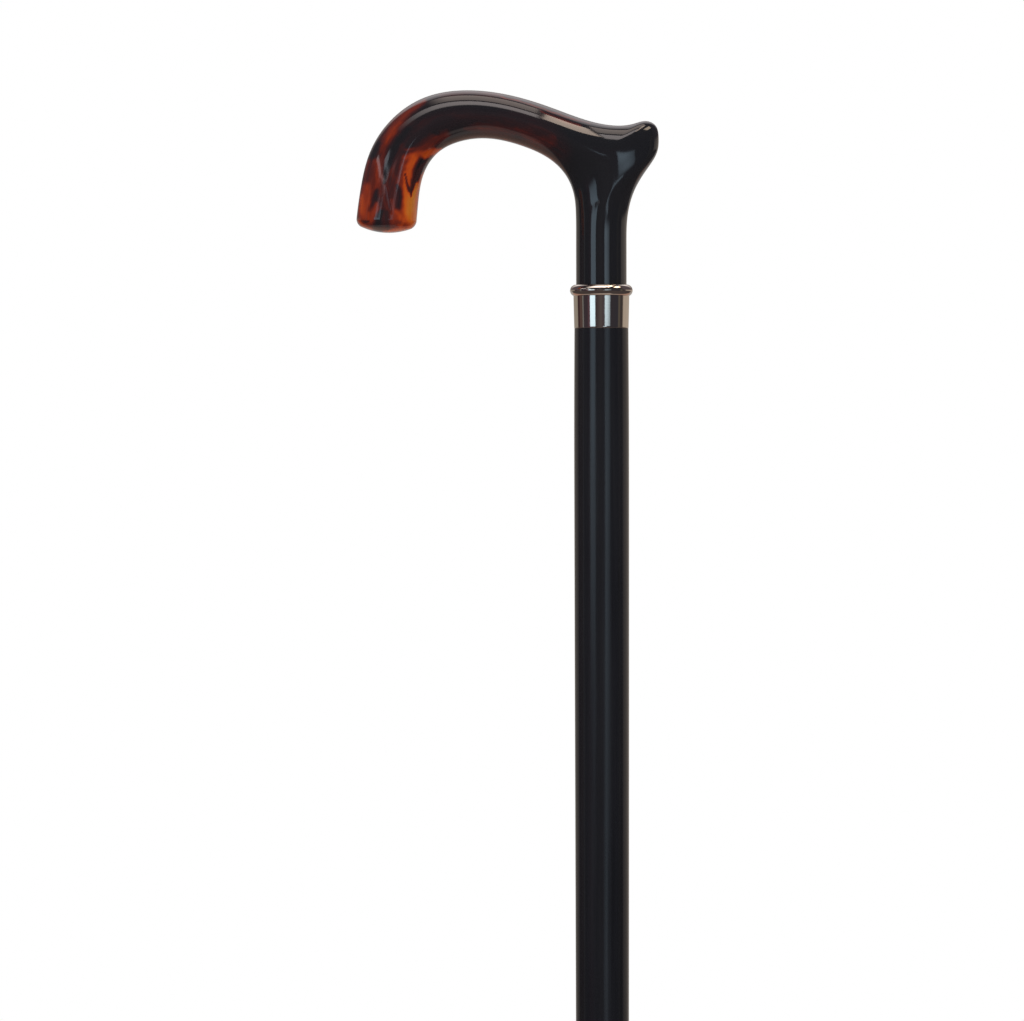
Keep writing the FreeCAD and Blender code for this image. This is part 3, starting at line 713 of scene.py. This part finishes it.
def rib_recipe(finish):
    """Rings of half-round rubber, one under the other, that widen with the sleeve."""
    recipe = Recipe("ferrule_ribs", (
        ("Count", "Int", 4), ("Pitch", "Float", 4.2 * MM), ("Top level", "Float", FERRULE_TOP - 4.6 * MM),
        ("Top radius", "Float", 12.107 * MM), ("Widening", "Float", 0.098 * MM),
        ("Rib radius", "Float", 0.9 * MM)))
    count, pitch, top_level, top_radius, widening, rib_radius = (
        recipe.amount(recipe.inputs, name)
        for name in ("Count", "Pitch", "Top level", "Top radius", "Widening", "Rib radius"))
    line = recipe.add("GeometryNodeMeshLine", None, {"Count": count})
    number = recipe.amount(recipe.add("GeometryNodeInputIndex"))
    place = recipe.add("ShaderNodeCombineXYZ", None, {"Z": top_level - number * pitch})
    spots = recipe.add("GeometryNodeSetPosition", None,
                       {"Geometry": line.outputs["Mesh"], "Position": place.outputs[0]})
    circle = recipe.add("GeometryNodeCurvePrimitiveCircle", {"mode": "RADIUS"},
                        {"Resolution": 128, "Radius": top_radius})
    section = recipe.add("GeometryNodeCurvePrimitiveCircle", {"mode": "RADIUS"},
                         {"Resolution": 16, "Radius": rib_radius})
    ring = recipe.add("GeometryNodeCurveToMesh", None,
                      {"Curve": circle.outputs["Curve"], "Profile Curve": section.outputs["Curve"]})
    scale = number * widening / top_radius + 1.0
    spread = recipe.add("ShaderNodeCombineXYZ", None, {"X": scale, "Y": scale, "Z": 1.0})
    ribs = recipe.add("GeometryNodeInstanceOnPoints", None, {
        "Points": spots.outputs["Geometry"], "Instance": ring.outputs["Mesh"], "Scale": spread.outputs[0]})
    real = recipe.add("GeometryNodeRealizeInstances", None, {"Geometry": ribs.outputs["Instances"]})
    smooth = recipe.add("GeometryNodeSetShadeSmooth", None, {"Geometry": real.outputs["Geometry"]})
    recipe.finish_with(finish, smooth)
    return recipe


def thread_recipe(finish):
    """A rolled thread: one turn after another of a ridge that winds up the stud."""
    recipe = Recipe("stud_thread", (
        ("Turns", "Float", 53.0), ("Height", "Float", 66.25 * MM), ("Foot level", "Float", 805 * MM),
        ("Core radius", "Float", 3.4 * MM), ("Ridge", "Float", 0.62 * MM)))
    sizes = recipe.inputs.outputs
    helix = recipe.add("GeometryNodeCurveSpiral", None, {
        "Resolution": 24, "Rotations": sizes["Turns"], "Start Radius": sizes["Core radius"],
        "End Radius": sizes["Core radius"], "Height": sizes["Height"], "Reverse": False})
    lift = recipe.add("ShaderNodeCombineXYZ", None, {"Z": sizes["Foot level"]})
    placed = recipe.add("GeometryNodeTransform", None,
                        {"Geometry": helix.outputs["Curve"], "Translation": lift.outputs[0]})
    upright = recipe.add("GeometryNodeSetCurveNormal", {"mode": "Z_UP"},
                         {"Curve": placed.outputs["Geometry"]})
    ridge = recipe.add("GeometryNodeCurvePrimitiveCircle", {"mode": "RADIUS"},
                       {"Resolution": 4, "Radius": sizes["Ridge"]})
    body = recipe.add("GeometryNodeCurveToMesh", None, {
        "Curve": upright.outputs["Curve"], "Profile Curve": ridge.outputs["Curve"], "Fill Caps": True})
    real = recipe.add("GeometryNodeRealizeInstances", None, {"Geometry": body.outputs["Mesh"]})
    recipe.finish_with(finish, real)
    return recipe


def make_stud_core(finish):
    """The rod inside the stud's thread."""
    foot, top = 803 * MM, 873 * MM
    core, chamfer = 3.45 * MM, 1 * MM
    outline = [(0, top), (core - chamfer, top), (core, top - chamfer), (core, foot + chamfer),
               (core - chamfer, foot), (0, foot)]
    return turned("stud_core", outline[::-1], 48, finish)


# Finishes

class Finish(Nodes):
    """A material, world or lamp and the nodes in it."""

    def __init__(self, holder):
        self.holder = holder
        holder.use_nodes = True
        self.tree = holder.node_tree
        self.tree.nodes.clear()

    def place(self):
        """Where a point lies in the cane's own frame, in metres."""
        return self.add("ShaderNodeTexCoord").outputs["Object"]

    def axes(self, vector):
        """The three coordinates of a vector, as numbers."""
        node = self.add("ShaderNodeSeparateXYZ", None, {"Vector": vector})
        return [self.amount(node, axis) for axis in "XYZ"]

    def stretched(self, source, scale):
        node = self.add("ShaderNodeMapping", {"vector_type": "POINT"}, {"Vector": source, "Scale": scale})
        return node.outputs[0]

    def noise(self, source, scale, detail=3.0, roughness=0.5, distortion=0.0):
        node = self.add("ShaderNodeTexNoise", None, {"Vector": source, "Scale": scale, "Detail": detail,
                                                     "Roughness": roughness, "Distortion": distortion})
        return self.amount(node)

    def colours(self, amount, stops):
        return self.add("ShaderNodeValToRGB", {"stops": stops}, {"Fac": amount}).outputs[0]

    def mixed(self, share, first, second):
        node = self.add("ShaderNodeMix", {"data_type": "RGBA"}, {"Factor": share, 6: first, 7: second})
        return node.outputs[2]

    def bump(self, height, strength, distance):
        node = self.add("ShaderNodeBump", None,
                        {"Height": height, "Strength": strength, "Distance": distance})
        return node.outputs[0]

    def surface(self, sockets):
        skin = self.add("ShaderNodeBsdfPrincipled", None, sockets)
        self.add("ShaderNodeOutputMaterial", None, {"Surface": skin.outputs[0]})


def new_finish(name):
    return Finish(bpy.data.materials.new(name))


def fine_ridge(finish):
    """A polisher's crease down the front of the drop, from 0 beside it to 1 on its crest."""
    x, y, z = finish.axes(finish.place())
    foot, top = COLLAR_TOP + 26.0 * MM, COLLAR_TOP + 35.5 * MM
    crest = (z - foot) * -0.19 - 76.5 * MM
    aside = ((x - crest) / (0.62 * MM)).maths("ABSOLUTE").maths("MINIMUM", 1.0)
    across = (1 - aside * aside) ** 2
    ends = z.step(foot - 1 * MM, foot + 1 * MM) * (1 - z.step(top - 2 * MM, top + 2 * MM))
    return across * ends * (1 - y.step(-3 * MM, 0))


def tortoiseshell_acrylic():
    """Polished dark tortoiseshell acrylic: smoky layers of black, oxblood, orange and amber. The warmth it
    reads also carries painted glow along the thin inner and bottom rims.
    """
    finish = new_finish("tortoiseshell_acrylic")
    warmth = finish.amount(finish.add("ShaderNodeAttribute", {"attribute_name": "warmth"}), "Fac")
    grain = finish.add("ShaderNodeAttribute", {"attribute_name": "grain"}).outputs["Vector"]
    streaks = finish.noise(finish.stretched(grain, (110, 520, 420)), 1.0, 5.0, 0.62, 0.9)
    clouds = finish.noise(finish.stretched(grain, (60, 150, 150)), 1.0, 3.0, 0.5, 0.4)
    lively = (warmth * 2.6).maths("MINIMUM", 1.0) * (1.15 - warmth)
    shade = warmth + (streaks - 0.5) * (lively * 0.42 + 0.03) + (clouds - 0.5) * (lively * 0.26 + 0.02)
    colour = finish.colours(shade, (
        (0.0, (0.0108, 0.0112, 0.0135)), (0.12, (0.0170, 0.0114, 0.0138)),
        (0.27, (0.046, 0.0115, 0.0115)), (0.42, (0.110, 0.0155, 0.0095)),
        (0.58, (0.240, 0.0280, 0.0080)), (0.72, (0.400, 0.0540, 0.0080)),
        (0.86, (0.510, 0.1000, 0.0110)), (1.0, (0.485, 0.1680, 0.0220))))
    waves = finish.noise(finish.stretched(grain, (40, 90, 90)), 1.0, 0.0)
    relief = (waves - 0.5) * (0.02 * MM) + fine_ridge(finish) * (0.17 * MM)
    finish.surface({"Base Color": colour, "Roughness": 0.08, "IOR": 1.5,
                    "Normal": finish.bump(relief, 1.0, 1.0)})
    return finish.holder


def nickel_plating():
    """Polished nickel plating with faint turning lines and a few hairline scratches."""
    finish = new_finish("nickel_plating")
    place = finish.place()
    lines = finish.noise(finish.stretched(place, (60, 60, 9000)), 1.0, 2.0, 0.6)
    smears = finish.noise(finish.stretched(place, (160, 160, 90)), 1.0, 3.0, 0.6)
    roughness = 0.075 + smears.step(0.45, 0.75) * 0.05 + lines.step(0.62, 0.72) * 0.02
    finish.surface({"Base Color": (0.68, 0.625, 0.55, 1), "Metallic": 1.0, "Roughness": roughness,
                    "Normal": finish.bump(lines, 0.05, 0.02 * MM)})
    return finish.holder


def black_lacquer():
    """Satin black lacquer on beech, with the wood's long pores just showing through, and painted shade
    that darkens it lower down the shaft.
    """
    finish = new_finish("black_lacquer")
    place = finish.place()
    pores = finish.noise(finish.stretched(place, (900, 900, 16)), 1.0, 4.0, 0.6)
    flow = finish.noise(finish.stretched(place, (45, 45, 9)), 1.0, 2.0, 0.5)
    level = finish.axes(place)[2]
    # Painted shade: the colour darkens below 0.80 m up the shaft, fully so below 0.58 m.
    tone_and_low_shade = flow + (pores - 0.5) * 0.7 - (1 - level.step(0.58, 0.80)) * 0.35
    colour = finish.colours(tone_and_low_shade, (
        (0.0, (0.0068, 0.0072, 0.0090)), (0.3, (0.0098, 0.0102, 0.0130)),
        (0.7, (0.0134, 0.0138, 0.0168))))
    roughness = 0.15 + pores.step(0.35, 0.8) * 0.07
    finish.surface({"Base Color": colour, "Roughness": roughness, "IOR": 1.41,
                    "Normal": finish.bump(pores, 0.10, 0.06 * MM)})
    return finish.holder


def ferrule_rubber():
    """Matt black moulded rubber with a fine grain, scuffed pale at the foot."""
    finish = new_finish("ferrule_rubber")
    place = finish.place()
    grit = finish.noise(place, 5200, 3.0, 0.6)
    patches = finish.noise(place, 170, 4.0, 0.6)
    height = finish.axes(place)[2]
    scuffs = (1 - height.step(1 * MM, 16 * MM)) * patches.step(0.42, 0.72)
    shade = patches * 0.35 + (grit - 0.5) * 0.25 + scuffs * 0.6
    colour = finish.colours(shade, (
        (0.0, (0.012, 0.012, 0.0125)), (0.35, (0.0205, 0.0200, 0.0200)), (0.9, (0.075, 0.072, 0.068))))
    finish.surface({"Base Color": colour, "Roughness": 0.56 + patches * 0.22, "IOR": 1.5,
                    "Normal": finish.bump(grit + patches * 0.8, 0.25, 0.1 * MM)})
    return finish.holder


def zinc_steel(name):
    """Zinc-plated steel, slightly dull and cloudy."""
    finish = new_finish(name)
    place = finish.place()
    clouds = finish.noise(place, 420, 4.0, 0.6)
    spangle = finish.noise(place, 2600, 2.0, 0.5)
    colour = finish.colours(clouds, ((0.3, (0.47, 0.47, 0.48)), (0.7, (0.62, 0.62, 0.61))))
    finish.surface({"Base Color": colour, "Metallic": 1.0, "Roughness": 0.26 + clouds * 0.2,
                    "Normal": finish.bump(spangle, 0.15, 0.04 * MM)})
    return finish.holder


# Studio

# What polished surfaces mirror at the height of the cane, by direction seen from above: 0 is in
# front of it, +90 on its right. The pale backdrop stands behind, the dim studio in front.
ROOM_BY_DIRECTION = (
    (-180, (0.36, 0.32, 0.28)), (-120, (0.36, 0.32, 0.28)), (-115, (0.05, 0.024, 0.028)),
    (-107, (0.05, 0.024, 0.028)), (-101, (0.115, 0.072, 0.068)), (-87, (0.105, 0.070, 0.065)),
    (-84, (0.34, 0.36, 0.36)), (-80.5, (0.055, 0.045, 0.055)), (-62, (0.055, 0.040, 0.052)),
    (-53, (0.13, 0.065, 0.085)), (-25, (0.05, 0.04, 0.045)), (-2, (0.105, 0.088, 0.092)),
    (10, (0.065, 0.045, 0.055)), (40, (0.045, 0.040, 0.050)), (72, (0.040, 0.038, 0.050)),
    (79, (0.135, 0.115, 0.095)), (87, (0.06, 0.05, 0.05)), (99, (0.065, 0.05, 0.05)),
    (104, (0.52, 0.44, 0.38)), (180, (0.50, 0.43, 0.37)),
)
# The backdrop behind the cane brightens upwards and ends under the overhead light, by height of
# the direction from -1, straight down, to 1.
BACKDROP_BY_HEIGHT = (
    (0.0, (0.13, 0.10, 0.10)), (0.14, (0.16, 0.13, 0.13)), (0.27, (0.42, 0.36, 0.34)),
    (0.42, (0.72, 0.66, 0.66)), (0.56, (1.20, 1.12, 1.14)), (0.82, (1.05, 0.97, 0.97)),
    (0.87, (0.20, 0.15, 0.16)), (1.0, (0.12, 0.10, 0.10)),
)
# The plain light that every surface takes in from all round
FILL_LIGHT = 0.72
# Where the drop of the handle faces the camera
DROP_FRONT = Vector((-0.083, -0.010, 0.878))
CEILING_HEIGHT = 2.1
FLOOR_RADIUS = 3.0
# The camera stands level with the middle of the picture. The roll is the lean of the shaft.
CAMERA_PLACE = (-0.03275, -3.0, 0.7606)
CAMERA_LENS = 288.9
CAMERA_ROLL = 0.086


def studio_world():
    """White for the camera; polished surfaces mirror the pale backdrop and the dim room."""
    world = bpy.data.worlds.new("studio")
    bpy.context.scene.world = world
    finish = Finish(world)
    across, ahead, height = finish.axes(finish.add("ShaderNodeTexCoord").outputs["Generated"])
    turn = across.maths("ARCTAN2", ahead * -1) / (2 * math.pi) + 0.5
    level_room = finish.colours(turn, [(angle / 360 + 0.5, colour) for angle, colour in ROOM_BY_DIRECTION])
    backdrop = finish.colours((height + 1) / 2,
                              [((level + 1) / 2, colour) for level, colour in BACKDROP_BY_HEIGHT])
    behind = ahead.step(-0.06, 0.06)
    beside = across.maths("ABSOLUTE") / ahead.maths("MAXIMUM", 0.02)
    backdrop = finish.mixed(beside.step(0.50, 0.86), backdrop, (0.11, 0.085, 0.10, 1))
    upper_room = finish.mixed(behind, (0.05, 0.045, 0.05, 1), backdrop)
    # Below, a sheet of paper leads from under the cane to the backdrop. It widens towards the back,
    # and its front edge slants on the left.
    below = (height * -1).maths("MAXIMUM", 0.02)
    back = ahead / below
    aside = across / below
    side_room = 0.40 + (back - 0.1).maths("MAXIMUM", 0.0) * 0.75 - aside.maths("ABSOLUTE")
    slant = (aside * -1 - 0.08).maths("MAXIMUM", 0.0) * 0.7
    paper = (back - slant).step(-0.36, -0.22) * side_room.step(-0.08, 0.08)
    paper_colour = finish.mixed(back.step(0.25, 0.70), (0.50, 0.42, 0.39, 1), (0.44, 0.27, 0.215, 1))
    paper_colour = finish.mixed(back.step(2.0, 3.2), paper_colour, (0.46, 0.43, 0.41, 1))
    lower_room = finish.mixed(paper, (0.075, 0.06, 0.06, 1), paper_colour)
    steep = finish.mixed(height.step(-0.02, 0.02), lower_room, upper_room)
    tilt = height.maths("ABSOLUTE")
    off_level = tilt.step(0.12, 0.36)
    off_level = off_level + (tilt.step(0.04, 0.12) - off_level) * behind
    room = finish.mixed(off_level, level_room, steep)
    rays = finish.add("ShaderNodeLightPath")
    to_camera, glossy, through = (finish.amount(rays, kind) for kind in (
        "Is Camera Ray", "Is Glossy Ray", "Is Transmission Ray"))
    fill = (FILL_LIGHT, FILL_LIGHT, FILL_LIGHT, 1)
    around = finish.mixed(glossy.maths("MAXIMUM", through), fill, room)
    seen = finish.mixed(to_camera, around, (1, 1, 1, 1))
    light = finish.add("ShaderNodeBackground", None, {"Color": seen, "Strength": 1.0})
    finish.add("ShaderNodeOutputWorld", None, {"Surface": light.outputs[0]})
    world.cycles.sampling_method = "NONE"


def soft_lamp(name, corner, right, up, radiance, fades=()):
    """A rectangular soft light, from its corner and two edges. It shines against right x up. A fade
    runs from dark to bright along the width, X, or the height, Y, between two shares of it."""
    brightness = max(radiance)
    lamp = bpy.data.lights.new(name, "AREA")
    lamp.shape = "RECTANGLE"
    lamp.size = right.length
    lamp.size_y = up.length
    lamp.energy = math.pi * right.length * up.length * brightness
    lamp.color = [part / brightness for part in radiance]
    if fades:
        finish = Finish(lamp)
        spot = dict(zip("XYZ", finish.axes(finish.add("ShaderNodeNewGeometry").outputs["Parametric"])))
        strength = 1
        for axis, low, high in fades:
            strength = spot[axis].step(low, high) * strength
        glow = finish.add("ShaderNodeEmission", None, {"Strength": strength})
        finish.add("ShaderNodeOutputLight", None, {"Surface": glow.outputs[0]})
    stand = bpy.data.objects.new(name, lamp)
    axes = Matrix((right.normalized(), up.normalized(), right.cross(up).normalized())).transposed()
    stand.matrix_world = Matrix.Translation(corner + (right + up) / 2) @ axes.to_4x4()
    stand.visible_camera = False
    stand.visible_diffuse = False
    bpy.context.scene.collection.objects.link(stand)
    return stand


def panel(name, first_angle, last_angle, foot, top, radiance, distance, fades=()):
    """An upright soft light in front of the cane, between two directions seen from above."""
    ends = []
    for angle in (first_angle, last_angle):
        turn = math.radians(angle)
        ends.append(Vector((distance * math.sin(turn), -distance * math.cos(turn), foot)))
    soft_lamp(name, ends[0], ends[1] - ends[0], Vector((0, 0, top - foot)), radiance, fades)


def ceiling_lamp(name, left, right, front, back, radiance, fades=()):
    """A soft light that hangs level over the cane."""
    soft_lamp(name, Vector((left, front, CEILING_HEIGHT)), Vector((right - left, 0, 0)),
              Vector((0, back - front, 0)), radiance, fades)


def tube(name, ends, thickness, radiance):
    """A thin light that slants across the drop's view of the room. Each end has a direction seen
    from above, a height over level, both in degrees, and a distance."""
    places = []
    for angle, height, distance in ends:
        turn, rise = math.radians(angle), math.radians(height)
        way = Vector((math.sin(turn) * math.cos(rise), -math.cos(turn) * math.cos(rise), math.sin(rise)))
        places.append(DROP_FRONT + way * distance)
    run = places[1] - places[0]
    away = (places[0] + places[1]) / 2 - DROP_FRONT
    across = away.cross(run).normalized() * thickness
    soft_lamp(name, places[0] - across / 2, run, across, radiance)


def make_lamps():
    """The lights that polished surfaces mirror, then the plain one that lights the colours. The far
    panels are so far off that only the direction of a reflection counts."""
    panel("left_panel", -49.0, -26.5, 0.60, 0.985, (1.14, 1.58, 1.90), 1.6, (("Y", 0.05, 0.63),))
    panel("left_panel_top", -46.5, -37.5, 0.985, 1.035, (0.90, 1.22, 1.45), 1.6)
    panel("right_panel", 13.5, 36.5, -0.13, 1.62, (1.35, 1.80, 2.15), 16.0,
          (("Y", 0.02, 0.66), ("X", 1.5, 0.2)))
    panel("right_panel_low", 6.5, 22.0, -4.60, -2.90, (1.25, 1.65, 1.95), 60.0)
    tube("long_tube_end", ((-88, 24.2, 1.1), (-50, 12.8, 1.3)), 0.052, (2.4, 2.2, 2.3))
    tube("long_tube", ((-50, 12.8, 1.3), (-20, 4.6, 1.5)), 0.022, (2.4, 2.2, 2.3))
    tube("short_tube_end", ((-50, 21.5, 1.0), (-38, 14.0, 1.1)), 0.080, (1.7, 1.9, 2.1))
    tube("short_tube", ((-38, 14.0, 1.1), (-20, 6.3, 1.3)), 0.020, (1.7, 1.9, 2.1))
    tube("faint_tube", ((-16, 7.6, 1.2), (-7.5, 3.7, 1.2)), 0.010, (1.2, 1.1, 1.2))
    ceiling_lamp("overhead_box", -0.62, 0.37, -0.21, 0.485, (2.05, 1.72, 1.52), (("X", 0.02, 0.40),))
    ceiling_lamp("front_strip", -1.45, 0.38, -1.13, -0.37, (3.6, 3.2, 3.1),
                 (("X", -0.1, 0.75), ("Y", 0.0, 0.33)))
    ceiling_lamp("right_box", 0.41, 0.57, -0.80, 0.10, (6.9, 5.5, 4.5))
    ceiling_lamp("far_right_box", 0.93, 1.45, -0.62, 0.12, (5.9, 4.7, 3.5))
    plain = soft_lamp("plain_box", Vector((-0.8, -2.2, 2.3)), Vector((1.6, 0, 0)), Vector((0, 1.39, 0.8)),
                      (3.6, 3.6, 3.6))
    plain.visible_diffuse, plain.visible_glossy = True, False


def make_floor():
    """A round of pale paper on the floor."""
    finish = new_finish("pale_floor")
    paper = finish.noise(finish.place(), 900, 3.0, 0.6)
    colour = finish.colours(paper, ((0.3, (0.77, 0.75, 0.72)), (0.7, (0.79, 0.77, 0.74))))
    finish.surface({"Base Color": colour, "Roughness": 0.85})
    columns = 96
    points = [(0, 0, 0)] + ring_points(FLOOR_RADIUS, 0, columns)
    floor = new_piece("studio_floor", points, fan_faces(0, 1, columns, True), finish.holder)
    floor.visible_glossy = False


def make_camera():
    """A long lens three metres in front, looking straight at the cane's side."""
    data = bpy.data.cameras.new("camera")
    data.lens = CAMERA_LENS
    camera = bpy.data.objects.new("camera", data)
    camera.location = CAMERA_PLACE
    camera.rotation_euler = (math.radians(90), math.radians(CAMERA_ROLL), 0)
    bpy.context.scene.collection.objects.link(camera)
    bpy.context.scene.camera = camera
    bpy.context.scene.view_settings.view_transform = "Standard"


make_camera()
studio_world()
make_lamps()
make_floor()
make_handle(tortoiseshell_acrylic())
make_collar(nickel_plating())
make_shaft(black_lacquer())
rubber = ferrule_rubber()
dress(make_ferrule_body(rubber), "ferrule")
dress(rib_recipe(rubber).made("ferrule_rib_rings"), "ferrule")
stud_steel = zinc_steel("stud_steel")
dress(make_stud_core(stud_steel), "joining_stud")
dress(thread_recipe(stud_steel).made("stud_thread_ridge"), "joining_stud")
make_washer(zinc_steel("washer_steel"))
